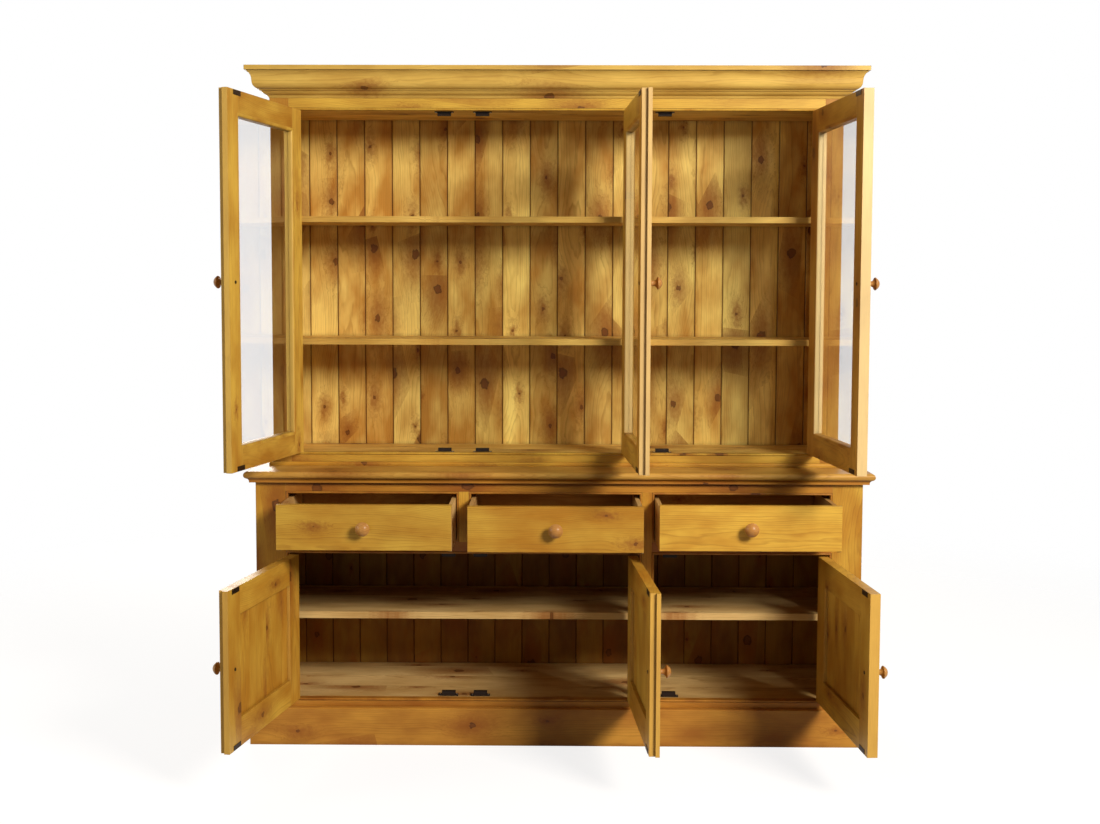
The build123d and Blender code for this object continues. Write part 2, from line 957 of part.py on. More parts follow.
def around(sight, margin, front, back):
    """The space between two depths that reaches past a door's sight size by a margin all round."""
    left, right, bottom, top = sight
    return block(left - margin, right + margin, front, back, bottom - margin, top + margin)


def glaze(door, sight):
    """The pane of a glazed door and the four beads that hold it."""
    pane_back = glass_front + glass_thickness
    pane = around(sight, glass_rebate - glass_play, glass_front, pane_back)
    keep(door.name + "_glass", opened(door, pane))
    left, right, bottom, top = sight
    strips = ring_of_strips(
        Pos(0, pane_back) * glazing_profile,
        glass_rebate,
        left - glass_rebate,
        right + glass_rebate,
        bottom - glass_rebate,
        top + glass_rebate,
        pane_back,
        door_thickness,
    )
    keep(door.name + "_glazing_beads", *[opened(door, strip) for strip in strips])


def make_door(door):
    """All the pieces of one door, each kept under its own node."""
    height = door_height(door)
    lap = meeting_lap / 2 if door.lip else 0
    member = door.level.member
    sight = (member, door.width - member - lap, member, height - member)
    if door.level.glazed:
        housing = around(sight, glass_rebate, glass_front, door_thickness)
        glaze(door, sight)
    else:
        housing = around(sight, panel_groove, panel_tongue_front, panel_tongue_front + panel_tongue)
        keep(door.name + "_panel", opened(door, raised_panel(*sight)))
    members = [piece - housing for piece in door_members(door)]
    for foot in hinge_feet(door):
        members[0] = members[0] - Pos(0, 0, foot) * leaf_seat(hinge_recess - hinge_leaf)

    knob_x = door.width - member / 2 - lap
    knob_z = height / 2
    inside = door_thickness + screw_head_height
    members[1] = members[1] - rod(screw_radius + screw_hole_play, knob_x, knob_z, 0, door_thickness)
    keep(door.name + "_frame", *[opened(door, piece) for piece in members])
    shank = rod(screw_radius, knob_x, knob_z, -screw_bite, door_thickness)
    screw = shank + rod(screw_head_radius, knob_x, knob_z, door_thickness, inside)
    turned = Pos(knob_x, 0, knob_z) * knob(
        door_knob_radius,
        door_knob_length,
        door_knob_neck,
        door_knob_foot,
        door_knob_rise,
    )
    keep(door.name + "_knob", opened(door, turned - shank))

    strike_middle = door.width - door.strike
    for low in (strike_edge, height - strike_edge - strike_height):
        strike = block(
            strike_middle - strike_width / 2,
            strike_middle + strike_width / 2,
            door_thickness,
            door_thickness + strike_thickness,
            low,
            low + strike_height,
        )
        keep(door.name + "_hardware", opened(door, strike))
    keep(door.name + "_hardware", opened(door, screw))
    for foot in hinge_feet(door):
        keep(door.name + "_hardware", opened(door, Pos(0, 0, foot) * door_leaf))
        for piece in (frame_leaf, pin):
            keep("frame_hinges", shut(door, Pos(0, 0, foot) * piece))


for door in doors:
    make_door(door)

# Beads of every opening, with the leaves of the hinges let into those beside the doors
for bay in (left_drawer_bay, middle_drawer_bay, base_right_bay_span):
    keep("base_frame_beads", *opening_beads(bay, drawer_floor, drawer_ceiling, base_front))
for level, node in ((lower_level, "base_frame_beads"), (upper_level, "hutch_frame_beads")):
    beads = []
    for bay in (level.left_bay, level.right_bay):
        beads = beads + opening_beads(bay, level.bottom, level.bottom + level.opening, level.front)
    for door in doors:
        if door.level is not level:
            continue
        for foot in hinge_feet(door):
            seat = shut(door, Pos(0, 0, foot) * leaf_seat(-door_gap - hinge_recess))
            beads = [bead - seat for bead in beads]
    keep(node, *beads)


def wide_block(middle, width, front, back, start, end):
    """A block about a middle X, whose start and end may be either way up."""
    return block(middle - width / 2, middle + width / 2, front, back, min(start, end), max(start, end))


# Magnetic catches behind each door's two strikes, each screwed down through its flange
for door in doors:
    strike = door.jamb + door.hand * (door_gap + door.width - door.strike)
    catch_front = door.level.front + door_thickness + strike_thickness + strike_air
    catch_back = catch_front + catch_depth
    screw_out = (catch_width + catch_flange_width) / 4
    for seat, up in ((door.level.floor, 1), (door.level.ceiling, -1)):
        flange_top = seat + up * catch_flange_thickness
        catch = wide_block(strike, catch_flange_width, catch_front, catch_back, seat, flange_top)
        catch = catch + wide_block(
            strike,
            catch_width,
            catch_front,
            catch_back,
            seat,
            seat + up * catch_height,
        )
        for side in (-1, 1):
            low = Pos(strike + side * screw_out, catch_front + catch_depth / 2, seat)
            rise = (catch_flange_thickness - catch_screw_bite) / 2
            shank = Cylinder(catch_screw_radius, catch_flange_thickness + catch_screw_bite)
            head_rise = catch_flange_thickness + catch_screw_head_height / 2
            head = Cylinder(catch_screw_head, catch_screw_head_height)
            shank = low * Pos(0, 0, up * rise) * shank
            catch = catch - shank
            for node in ("base_floor", "drawer_runners", "hutch_floor", "hutch_top_board"):
                nodes[node] = [solid for board in nodes[node] for solid in (board - shank).solids()]
            keep("catch_screws", shank + low * Pos(0, 0, up * head_rise) * head)
        keep("magnetic_catches", catch)

for node, solids in nodes.items():
    export_step(Compound(solids), "parts/" + node + ".step")
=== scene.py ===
import bpy
import json
from math import cos, radians, sin
from mathutils import Matrix, Vector


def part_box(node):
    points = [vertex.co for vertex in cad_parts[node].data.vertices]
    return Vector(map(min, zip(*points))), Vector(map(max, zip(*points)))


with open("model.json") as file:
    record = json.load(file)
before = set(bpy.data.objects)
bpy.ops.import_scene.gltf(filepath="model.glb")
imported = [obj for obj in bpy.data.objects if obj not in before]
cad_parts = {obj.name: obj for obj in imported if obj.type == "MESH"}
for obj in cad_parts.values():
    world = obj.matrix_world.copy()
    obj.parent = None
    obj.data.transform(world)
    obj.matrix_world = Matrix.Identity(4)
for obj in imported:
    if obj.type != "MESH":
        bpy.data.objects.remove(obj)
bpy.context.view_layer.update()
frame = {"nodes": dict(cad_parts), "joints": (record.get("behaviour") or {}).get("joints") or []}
nodes = frame["nodes"]

# Base carcass: two sides, a floor and a shelf
# The sides are glued up from pine staves and stand on the floor, and the wide boards between them
# are housed in the sides. All the wood is Scots pine, planed, stained honey brown and waxed.

# Sizes are in millimetres unless a comment says otherwise
MM = 1000
side_stave = 130
shelf_stave = 112

# The honey stain, from its palest to its warmest, and what shows through it
stain_pale = "#CDA440"
stain_warm = "#B67E25"
late_wood = "#92601E"
resin_wood = "#8A4E1C"
knot_wood = "#6A3C19"
knot_bark = "#2C1508"

# Dark wax stays in the grooves, the wood is darkened in inner corners as painted shade, and hands rub the
# outer corners pale
groove_wax = "#54280E"
rubbed_wood = "#D9B267"
arris = 1.3
corner_shade_reach = 12

# The log's rings. Real ones are 2 to 4 mm wide and real fibres under 1 mm, so both are drawn a
# little coarser to show. A value per mm has its parts along, across and through the board.
log_length = 9000
ring_pitch = 4.4
ring_profile = ((0.0, 0.12), (0.5, 0.28), (0.84, 1.0), (1.0, 0.08))
ring_wander = 15
ring_wander_per_mm = (0.0045, 0.028, 0.028)
pith_range_across = 120
pith_range_deep = 70
pith_least_deep = 24
pith_drift = 110
pith_drift_per_mm = (0.0016, 0, 0)
fibre_per_mm = (0.02, 0.5, 0.5)
patina_per_mm = (0.0055, 0.014, 0.014)

# The log's branches. Most knots are small, and each has a halo of resin drawn out along the grain.
# They are scattered one to a cell, and the cells lie shifted from log to log.
knot_cell_width = 92
knot_cell_shift = 31
knot_scatter = 0.95
knotless_share = 0.36
knot_radius = 15
least_knot_radius = 2.2
small_knots = 1.8
knot_along = 0.8
knot_ragged = 16
ragged_per_mm = (0.07, 0.1, 0.0)
knot_push = 17
halo_along = 0.4
halo_ragged = 30
halo_per_knot = 1.7
least_halo = 3.0
halo_fade = -0.4

# How strongly each pattern is laid over the stain
resin_strength = 0.75
knot_strength = 0.85
bark_strength = 2.4
rub_strength = 0.45
edge_sheen_strength = 0.75
groove_strength = 0.75
groove_stain = 0.3
groove_stain_reach = 5

# How a pattern changes the wood: its gain, and the level that it is added to
board_warmth = (0.7, -0.35)
patina_warmth = (2.6, -0.8)
patina_groove = (3.0, -0.9)
patina_rub = (1.6, -0.2)
patina_value = (-0.3, 1.15)
fibre_value = (0.26, 0.87)
corner_shade_value = (0.45, 0.55)
year_strength = (0.7, 0.45)
patina_dulling = 0.16

# Late wood and fibres stand a little proud under the wax
ring_relief = 0.5
fibre_relief = 0.6
relief_strength = 0.3
relief_depth = 0.05

# A corner is rubbed most where its rounding turns this far from the flat face, and an edge is painted
# paler, partly its own tone and partly a painted sheen, where it points sideways by more than this,
# both given as cosines
fully_rubbed = 0.8
faces_sideways = 0.7


def linear(colour):
    """A colour written as sRGB hex, as the linear RGBA that a shader takes."""
    parts = [int(colour[i:i + 2], 16) / 255 for i in (1, 3, 5)]
    return [p / 12.92 if p <= 0.04045 else ((p + 0.055) / 1.055) ** 2.4 for p in parts] + [1]


def add(tree, kind, *values, into=None, **settings):
    """Adds a node with its settings, and sets or links its inputs, in order or by name."""
    made = tree.nodes.new("ShaderNode" + kind)
    for name, value in settings.items():
        setattr(made, name, value)
    for place, value in (*enumerate(values), *(into or {}).items()):
        if isinstance(value, bpy.types.Node):
            value = value.outputs[0]
        if isinstance(value, bpy.types.NodeSocket):
            tree.links.new(value, made.inputs[place])
        else:
            made.inputs[place].default_value = value
    return made


def blank_material(name):
    """A new material and its node tree, which is still empty."""
    material = bpy.data.materials.new(name)
    material.use_nodes = True
    material.node_tree.nodes.clear()
    return material, material.node_tree


def pith_place(group, sample, luck):
    """How far the pith lies across and behind a board, as it drifts sideways along the log."""
    place = add(group, "VectorMath", sample, pith_drift_per_mm, operation="MULTIPLY")
    drift = add(group, "TexNoise", into={"Vector": place, "Scale": 1.0, "Detail": 1.0})
    drift = add(group, "Math", drift, 0.5, operation="SUBTRACT")
    across = add(group, "Math", luck["Green"], pith_range_across, -pith_range_across / 2,
                 operation="MULTIPLY_ADD")
    across = add(group, "Math", drift, pith_drift, across, operation="MULTIPLY_ADD")
    deep = add(group, "Math", luck["Blue"], pith_range_deep, pith_least_deep, operation="MULTIPLY_ADD")
    deep = add(group, "Math", drift, pith_drift / 2, deep, operation="MULTIPLY_ADD")
    return across, deep


def branches(group, sample, chance, spacing):
    """The knots that a board is cut through, and the halo of resin round each, both from 0 to 1."""
    size = add(group, "CombineXYZ", spacing, knot_cell_width, 1.0)
    flat = add(group, "VectorMath", sample, (1, 1, 0), operation="MULTIPLY")
    cell = add(group, "VectorMath", flat, size, operation="DIVIDE")
    shift = add(group, "VectorMath", chance, (0, knot_cell_shift, 0), operation="MULTIPLY")
    cell = add(group, "VectorMath", cell, shift, operation="ADD")
    nearest = add(group, "TexVoronoi", into={"Vector": cell, "Scale": 1.0, "Randomness": knot_scatter},
                  voronoi_dimensions="2D").outputs
    luck = add(group, "SeparateColor", nearest["Color"]).outputs
    present = add(group, "Math", luck["Green"], knotless_share, operation="GREATER_THAN")
    girth = add(group, "Math", luck["Red"], small_knots, operation="POWER")
    girth = add(group, "Math", girth, knot_radius, operation="MULTIPLY")
    girth = add(group, "Math", girth, least_knot_radius, operation="ADD")
    girth = add(group, "Math", girth, present, operation="MULTIPLY")

    away = add(group, "VectorMath", cell, nearest["Position"], operation="SUBTRACT")
    away = add(group, "VectorMath", away, size, operation="MULTIPLY")
    place = add(group, "VectorMath", sample, ragged_per_mm, operation="MULTIPLY")
    ragged = add(group, "TexNoise", into={"Vector": place, "Scale": 1.0, "Detail": 2.0})
    ragged = add(group, "Math", ragged, 0.5, operation="SUBTRACT")
    distances = []
    for along, raggedness in ((knot_along, knot_ragged), (halo_along, halo_ragged)):
        drawn_out = add(group, "VectorMath", away, (along, 1, 0), operation="MULTIPLY")
        length = add(group, "VectorMath", drawn_out, operation="LENGTH").outputs["Value"]
        distances.append(add(group, "Math", ragged, raggedness, length, operation="MULTIPLY_ADD"))
    from_knot, from_halo = distances

    core = add(group, "Math", girth, 0.5, operation="MULTIPLY")
    knot = add(group, "MapRange", from_knot, girth, core, 0.0, 1.0, interpolation_type="SMOOTHSTEP")
    knot = add(group, "Math", knot, present, operation="MULTIPLY")
    reach = add(group, "Math", girth, halo_per_knot, least_halo, operation="MULTIPLY_ADD")
    halo = add(group, "Math", from_halo, reach, operation="DIVIDE")
    halo = add(group, "Math", halo, halo, operation="MULTIPLY")
    halo = add(group, "Math", halo, halo_fade, operation="MULTIPLY")
    halo = add(group, "Math", halo, operation="EXPONENT")
    halo = add(group, "Math", halo, present, operation="MULTIPLY")
    return knot, halo


def growth_rings(group, sample, pith, halo):
    """The late wood of the yearly rings round the pith, which a knot pushes aside."""
    place = add(group, "VectorMath", sample, ring_wander_per_mm, operation="MULTIPLY")
    wander = add(group, "TexNoise", into={"Vector": place, "Scale": 1.0, "Detail": 3.0})
    wander = add(group, "Math", wander, 0.5, operation="SUBTRACT")
    sampled = add(group, "SeparateXYZ", sample).outputs
    across = add(group, "Math", sampled["Y"], pith[0], operation="SUBTRACT")
    across = add(group, "Math", across, across, operation="MULTIPLY")
    deep = add(group, "Math", sampled["Z"], pith[1], operation="ADD")
    deep = add(group, "Math", deep, deep, operation="MULTIPLY")
    radius = add(group, "Math", across, deep, operation="ADD")
    radius = add(group, "Math", radius, operation="SQRT")
    radius = add(group, "Math", wander, ring_wander, radius, operation="MULTIPLY_ADD")
    radius = add(group, "Math", halo, knot_push, radius, operation="MULTIPLY_ADD")
    rings = add(group, "Math", radius, ring_pitch, operation="DIVIDE")

    late = add(group, "ValToRGB", add(group, "Math", rings, operation="FRACT"))
    late.color_ramp.interpolation = "EASE"
    stops = late.color_ramp.elements
    for position, level in ring_profile[1:-1]:
        stops.new(position)
    for stop, (position, level) in zip(stops, ring_profile):
        stop.color = (level, level, level, 1)
    year = add(group, "Math", rings, operation="FLOOR")
    year = add(group, "TexWhiteNoise", into={"W": year}, noise_dimensions="1D")
    year = add(group, "Math", year, *year_strength, operation="MULTIPLY_ADD")
    return add(group, "Math", late, year, operation="MULTIPLY")


def pine_log():
    """The figure of pine in a board's own millimetres: X along the grain, Y across, Z through.

    Each board comes from its own place in a log, which its seed picks.
    """
    group = bpy.data.node_groups.new("pine log", "ShaderNodeTree")
    group.interface.new_socket("Board", in_out="INPUT", socket_type="NodeSocketVector")
    for name in ("Seed", "Knot spacing"):
        group.interface.new_socket(name, in_out="INPUT", socket_type="NodeSocketFloat")
    start = group.nodes.new("NodeGroupInput").outputs

    chance = add(group, "TexWhiteNoise", into={"W": start["Seed"]}, noise_dimensions="1D").outputs["Color"]
    luck = add(group, "SeparateColor", chance).outputs
    sample = add(group, "VectorMath", chance, (log_length, 0, 0), operation="MULTIPLY")
    sample = add(group, "VectorMath", start["Board"], sample, operation="ADD")
    pith = pith_place(group, sample, luck)
    knot, halo = branches(group, sample, chance, start["Knot spacing"])
    found = {"Late": growth_rings(group, sample, pith, halo).outputs[0]}
    found.update({"Knot": knot.outputs[0], "Halo": halo.outputs[0]})
    for name, per_mm in (("Fibre", fibre_per_mm), ("Patina", patina_per_mm)):
        place = add(group, "VectorMath", sample, per_mm, operation="MULTIPLY")
        cloud = add(group, "TexNoise", into={"Vector": place, "Scale": 1.0, "Detail": 3.0})
        found[name] = cloud.outputs[0]
    found.update({"Tone": luck["Red"], "Warmth": luck["Blue"]})

    end = group.nodes.new("NodeGroupOutput").inputs
    for name, value in found.items():
        group.interface.new_socket(name, in_out="OUTPUT", socket_type="NodeSocketFloat")
        group.links.new(value, end[name])
    return group


log = pine_log()
seeds = iter(range(11, 2000, 17))
seed_per_stave = 3.7


def lay_boards(tree, grain, start, stave, ends, turned):
    """Each point's place in its own board, that board's seed, and the way that the point faces."""
    seen = add(tree, "TexCoord").outputs
    spot, facing = seen["Object"], seen["Normal"]
    if turned:
        line, angle = turned
        spot = add(tree, "VectorRotate", spot, into={"Center": line, "Angle": angle}, rotation_type="Z_AXIS")
        facing = add(tree, "VectorRotate", facing, into={"Angle": angle}, rotation_type="Z_AXIS")
    spot = add(tree, "VectorMath", spot, start, operation="SUBTRACT")
    spot = add(tree, "VectorMath", spot, into={"Scale": MM}, operation="SCALE")
    part = add(tree, "SeparateXYZ", spot).outputs
    board = add(tree, "CombineXYZ", *[part[axis] for axis in grain])
    seed = float(next(seeds))
    if ends:
        end_grain, length, width = ends
        end_board = add(tree, "CombineXYZ", *[part[axis] for axis in end_grain])
        margin = add(tree, "Math", length, part["X"], operation="SUBTRACT")
        margin = add(tree, "Math", part["X"], margin, operation="MINIMUM")
        at_end = add(tree, "Math", margin, part["Y"] if width is None else width, operation="LESS_THAN")
        board = add(tree, "Mix", at_end, into={4: board, 5: end_board}, data_type="VECTOR").outputs[1]
        end_number = add(tree, "Math", part["X"], length / 2, operation="GREATER_THAN")
        end_number = add(tree, "Math", end_number, 1.0, operation="ADD")
        seed = add(tree, "Math", at_end, end_number, seed, operation="MULTIPLY_ADD")
    if stave:
        along, across, through = add(tree, "SeparateXYZ", board).outputs
        count = add(tree, "Math", across, stave, operation="DIVIDE")
        across = add(tree, "Math", count, operation="FRACT")
        across = add(tree, "Math", across, 0.5, operation="SUBTRACT")
        across = add(tree, "Math", across, stave, operation="MULTIPLY")
        number = add(tree, "Math", count, operation="FLOOR")
        seed = add(tree, "Math", number, seed_per_stave, seed, operation="MULTIPLY_ADD")
        board = add(tree, "CombineXYZ", along, across, through)
    return board, seed, facing


def groove_layers(tree, board, stave, groove, patina):
    """The stain beside each V-groove between two boards, and the dark wax in the groove itself."""
    across = add(tree, "Math", add(tree, "SeparateXYZ", board).outputs["Y"], operation="ABSOLUTE")
    gap = add(tree, "Math", stave / 2, across, operation="SUBTRACT")
    stained = add(tree, "MapRange", gap, groove, groove * groove_stain_reach, groove_stain, 0.0)
    patchy = add(tree, "Math", patina, *patina_groove, operation="MULTIPLY_ADD")
    stained = add(tree, "Math", stained, patchy, operation="MULTIPLY", use_clamp=True)
    waxed = add(tree, "Math", gap, groove, operation="LESS_THAN")
    waxed = add(tree, "Math", waxed, groove_strength, operation="MULTIPLY")
    return [(stained, late_wood), (waxed, groove_wax)]


def pine(name, grain, start, stave=0.0, ends=None, turned=None, edge_tone_and_sheen=None,
         tones=(stain_pale, stain_warm), tone_spread=0.18, knot_spacing=420.0, figure=0.5,
         roughness=0.42, groove=0.0, shine=0.22):
    """Pine, waxed or bare, whose grain runs along the first of three axes, such as "XZY".

    Start is the boards' own origin in metres. Stave is the width of the boards that a panel is
    glued or laid from, and groove the half width of the V-groove between two. Ends are boards at
    both ends of a piece that run another way: their axes, the piece's length and their width, or
    None for mitred returns. Turned is the line and angle that bring an open door back to its
    frame, and edge_tone_and_sheen the paler colour painted on the edges that run up it, partly their
    own tone and partly a painted sheen.
    """
    material, tree = blank_material(name)
    board, seed, facing = lay_boards(tree, grain, start, stave, ends, turned)
    grown = add(tree, "Group", board, seed, knot_spacing, node_tree=log).outputs
    patina, fibre, knot = grown["Patina"], grown["Fibre"], grown["Knot"]

    warmth = add(tree, "Math", grown["Warmth"], *board_warmth, operation="MULTIPLY_ADD")
    blotches = add(tree, "Math", patina, *patina_warmth, operation="MULTIPLY_ADD")
    warmth = add(tree, "Math", warmth, blotches, operation="ADD", use_clamp=True)
    late = add(tree, "Math", grown["Late"], figure, operation="MULTIPLY")
    resin = add(tree, "Math", grown["Halo"], resin_strength, operation="MULTIPLY")
    heart = add(tree, "Math", knot, knot_strength, operation="MULTIPLY")
    bark = add(tree, "Math", 1.0, knot, operation="SUBTRACT")
    bark = add(tree, "Math", knot, bark, operation="MULTIPLY")
    bark = add(tree, "Math", bark, bark_strength, operation="MULTIPLY")
    layers = [(late, late_wood), (resin, resin_wood), (heart, knot_wood), (bark, knot_bark)]
    if groove:
        layers += groove_layers(tree, board, stave, groove, patina)

    rounded = add(tree, "Bevel", into={"Radius": arris / MM}, samples=3)
    flat = add(tree, "NewGeometry").outputs["Normal"]
    bent = add(tree, "VectorMath", rounded, flat, operation="DOT_PRODUCT").outputs["Value"]
    rub = add(tree, "MapRange", bent, 1.0, fully_rubbed, 0.0, rub_strength)
    patchy = add(tree, "Math", patina, *patina_rub, operation="MULTIPLY_ADD")
    layers.append((add(tree, "Math", rub, patchy, operation="MULTIPLY"), rubbed_wood))
    # Edges that face sideways are painted paler: partly their own tone, partly a painted sheen
    if edge_tone_and_sheen:
        sideways = add(tree, "SeparateXYZ", facing).outputs["X"]
        sideways = add(tree, "Math", sideways, operation="ABSOLUTE")
        sideways = add(tree, "Math", sideways, faces_sideways, operation="GREATER_THAN")
        layers.append((add(tree, "Math", sideways, edge_sheen_strength, operation="MULTIPLY"), edge_tone_and_sheen))
    pale, warm = (linear(tone) for tone in tones)
    colour = add(tree, "Mix", warmth, into={6: pale, 7: warm}, data_type="RGBA").outputs[2]
    for amount, tone in layers:
        over = {6: colour, 7: linear(tone)}
        colour = add(tree, "Mix", amount, into=over, data_type="RGBA").outputs[2]

    # Painted shade: the wood is darkened where other surfaces close it in, as in inner corners
    painted_corner_shade = add(tree, "AmbientOcclusion", into={"Distance": corner_shade_reach / MM}, samples=4).outputs["AO"]
    board_value = (tone_spread, 1 - tone_spread / 2)
    value = add(tree, "Math", grown["Tone"], *board_value, operation="MULTIPLY_ADD")
    for pattern, levels in ((patina, patina_value), (fibre, fibre_value), (painted_corner_shade, corner_shade_value)):
        shade = add(tree, "Math", pattern, *levels, operation="MULTIPLY_ADD")
        value = add(tree, "Math", value, shade, operation="MULTIPLY")
    colour = add(tree, "HueSaturation", into={"Color": colour, "Value": value})

    raised_fibre = add(tree, "Math", fibre, fibre_relief, operation="MULTIPLY")
    height = add(tree, "Math", grown["Late"], ring_relief, raised_fibre, operation="MULTIPLY_ADD")
    relief = {"Height": height, "Normal": rounded}
    relief.update({"Strength": relief_strength, "Distance": relief_depth / MM})
    dull = roughness - patina_dulling / 2
    skin = add(tree, "BsdfPrincipled", into={
        "Base Color": colour,
        "Roughness": add(tree, "Math", patina, patina_dulling, dull, operation="MULTIPLY_ADD"),
        "Normal": add(tree, "Bump", into=relief),
        "Specular IOR Level": shine,
    })
    add(tree, "OutputMaterial", skin)
    return material


def finish_node(name, material):
    """Gives a node of the frame its material."""
    for slot in nodes[name].material_slots:
        slot.link = "OBJECT"
        slot.material = material


def low_corner(name):
    """The lowest corner of a node's box, in metres."""
    return tuple(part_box(name)[0])


def finish_pine(name, grain, finish="waxed pine", **more):
    """Finishes a node in pine whose boards start at its own lowest corner."""
    finish_node(name, pine(name + " " + finish, grain, low_corner(name), **more))


# Waxed pine side panels, which the eye sees as upright staves under one soft honey stain
finish_pine("base_sides", "ZYX", stave=side_stave)

# Worn pine boards: the wax is thin and dull, and use has rubbed the stain to greyish brown. Their tone is
# also painted paler, as painted light falling into the base
worn_and_painted_light_tones = ("#DDBE80", "#C6A062")
for name in ("base_floor", "base_shelf"):
    finish_pine(name, "XYZ", stave=shelf_stave, tones=worn_and_painted_light_tones, roughness=0.6, shine=0.08)

# Backs of the base and the hutch
# Tongued and grooved knotty boards with 87 mm faces, nailed upright to the back of the carcass.
# The first board of each is ripped narrower, and every joint shows as a V-groove.
board_pitch = 87
base_first_board = 55
hutch_first_board = 50.5
half_groove = 1.5
back_knot_spacing = 200.0

# Knotty waxed pine: each board has its own tone, with dark wax in the grooves. The hutch's has
# stayed pale. The base's has less polish and is dull, and is painted dark brown as painted shade
# for the shadow inside the base.
for name, first, tones, shine in (
    ("base_back_boards", base_first_board, ("#A07A34", "#7A4E24"), 0.08),
    ("hutch_back_boards", hutch_first_board, ("#F0D478", "#C48E3E"), 0.15),
):
    x, y, z = low_corner(name)
    first_edge = (x + (first - board_pitch) / MM, y, z)
    boards = pine(name + " knotty waxed pine", "ZXY", first_edge, stave=board_pitch, tones=tones,
                  tone_spread=0.26, knot_spacing=back_knot_spacing, groove=half_groove, shine=shine,
                  figure=0.38)
    finish_node(name, boards)

# Face frames and their beads
# Stiles, posts and rails of 22 mm pine with mortise and tenon joints, nailed to the carcass. A
# half-round bead is mitred and pinned round the inside of every opening.

# Rows this wide hold one stile or rail each, so each gets a board of its own
base_stile_row = 240
hutch_stile_row = 300
base_rail_tier = 300
hutch_rail_tier = 600

# Waxed pine: the base's rails and beads took the stain deepest, and the hutch's frieze hardly
base_tones = ("#BD8430", "#9C6020")
finish_pine("base_stiles", "ZXY", stave=base_stile_row)
finish_pine("base_rails", "XZY", stave=base_rail_tier, tones=base_tones)
finish_pine("base_frame_beads", "ZXY", tones=base_tones)
finish_pine("hutch_stiles", "ZXY", stave=hutch_stile_row, tones=("#C0923A", "#A66C24"))
finish_pine("hutch_rails", "XZY", stave=hutch_rail_tier, tones=("#D4AC46", "#BF9034"))
finish_pine("hutch_frame_beads", "ZXY")

# Drawer bearers, runners and guides
# Sawn pine battens inside the base, screwed to the carcass. They are bare, and the drawers rub
# them, so the eye sees pale matt wood.
finish_pine("drawer_runners", "YXZ", "sawn pine", tones=("#B48A52", "#9A6F3C"), roughness=0.6)

# Plinth, worktop and its moulding
# The plinth is three boards mitred round the foot. The worktop is glued up from 148 mm boards, with
# a rounded nose on three sides and a cove moulding pinned up under it.
top_stave = 148


def width_of(name):
    """The width of a node's box in millimetres."""
    low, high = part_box(name)
    return (high[0] - low[0]) * MM


def finish_moulding(name, **more):
    """Finishes a front run of pine that has a mitred return at each end."""
    finish_pine(name, "XZY", ends=("YZX", width_of(name), None), **more)


# Waxed pine: the plinth is a warm brown, and the top is rubbed a little paler by cloths
finish_moulding("plinth", tones=("#C18B37", "#A06525"))
finish_pine("worktop", "XYZ", stave=top_stave, tones=("#CB9E4A", "#B58236"))
finish_moulding("worktop_moulding", tones=base_tones)

# Hutch carcass: two sides, a floor, two shelves and a top board
# Made as the base is, and stood on the worktop. What stands on its floor and shelves has worn the
# stain, and the eye sees them as the palest wood.
finish_pine("hutch_sides", "ZYX", stave=side_stave)
for name in ("hutch_floor", "hutch_shelves", "hutch_top_board"):
    finish_pine(name, "XYZ", stave=shelf_stave, tones=("#E9C46A", "#D0A24C"), roughness=0.5)

# Foot moulding and cornice of the hutch
# Runs of moulded pine, mitred at the corners and pinned to the frieze and over the joint with the
# worktop. The cornice is clear wood that took less stain, so it looks even and yellow.
finish_moulding("hutch_foot_moulding")
finish_moulding("cornice", tones=("#DDB85C", "#C89C46"), figure=0.3)

# Drawers
# A thick front lapped over two thin sides, with a back and a bottom let into grooves. The fronts are
# waxed like the face frame, and the boxes are bare pine gone pale brown and matt.
drawer_side = 12
for name in ("left_drawer", "middle_drawer", "right_drawer"):
    finish_pine(name + "_front", "XZY")
    side_boards = ("YZX", width_of(name + "_box"), drawer_side)
    finish_pine(name + "_box", "XZY", "bare pine", ends=side_boards, tones=("#CDAA6E", "#B88D50"),
                roughness=0.6)

# Doors: frames, panels and glazing beads
# Two stiles and two rails of 27 mm pine, tenoned together, round a fielded panel below or a pane
# held by quarter-round beads above. The two left doors lap where they meet.
door_thickness = 27
lower_member = 76
upper_member = 68
panel_stave = 118
meeting_lap = 8

# The hinge pin stands this far out from the door's face and past its edge
hinge_axis_out = 5
hinge_edge = 1

# Waxed pine, in which each upper door took the stain its own way. The edges, planed last to fit
# and rubbed in use, show paler than the faces, and are also painted paler as a painted sheen, most
# on the right upper door, which is nearest the key lamp.
usual_tones = (stain_pale, stain_warm)
lower_finishes = {place: (usual_tones, "#D4A650") for place in ("left", "middle", "right")}
upper_finishes = {
    "left": (("#D2AC48", "#B07A28"), "#D6AE58"),
    "middle": (usual_tones, "#D8B87C"),
    "right": (("#C8963F", "#AC722B"), "#E2C890"),
}
joint_of = {joint["child"]: joint for joint in frame["joints"]}


def shut_door(name, lap):
    """Where a door's boards start when it is shut, its length, and its hinge line and angle.

    The door stands open in the frame, so its width is worked out from its box.
    """
    low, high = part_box(name + "_frame")
    hinge = joint_of[name]
    hand = -hinge["axis"][2]
    angle = radians(-hinge["range_deg"][0])
    line = Vector(hinge["pos_m"])
    depth = (high[1] - low[1]) * MM
    width = (depth - door_thickness * abs(cos(angle))) / sin(angle)
    left_edge = line.x + (hinge_edge if hand > 0 else lap - width - hinge_edge) / MM
    start = (left_edge, line.y + hinge_axis_out / MM, low[2])
    return start, width - lap, (line, hand * angle)


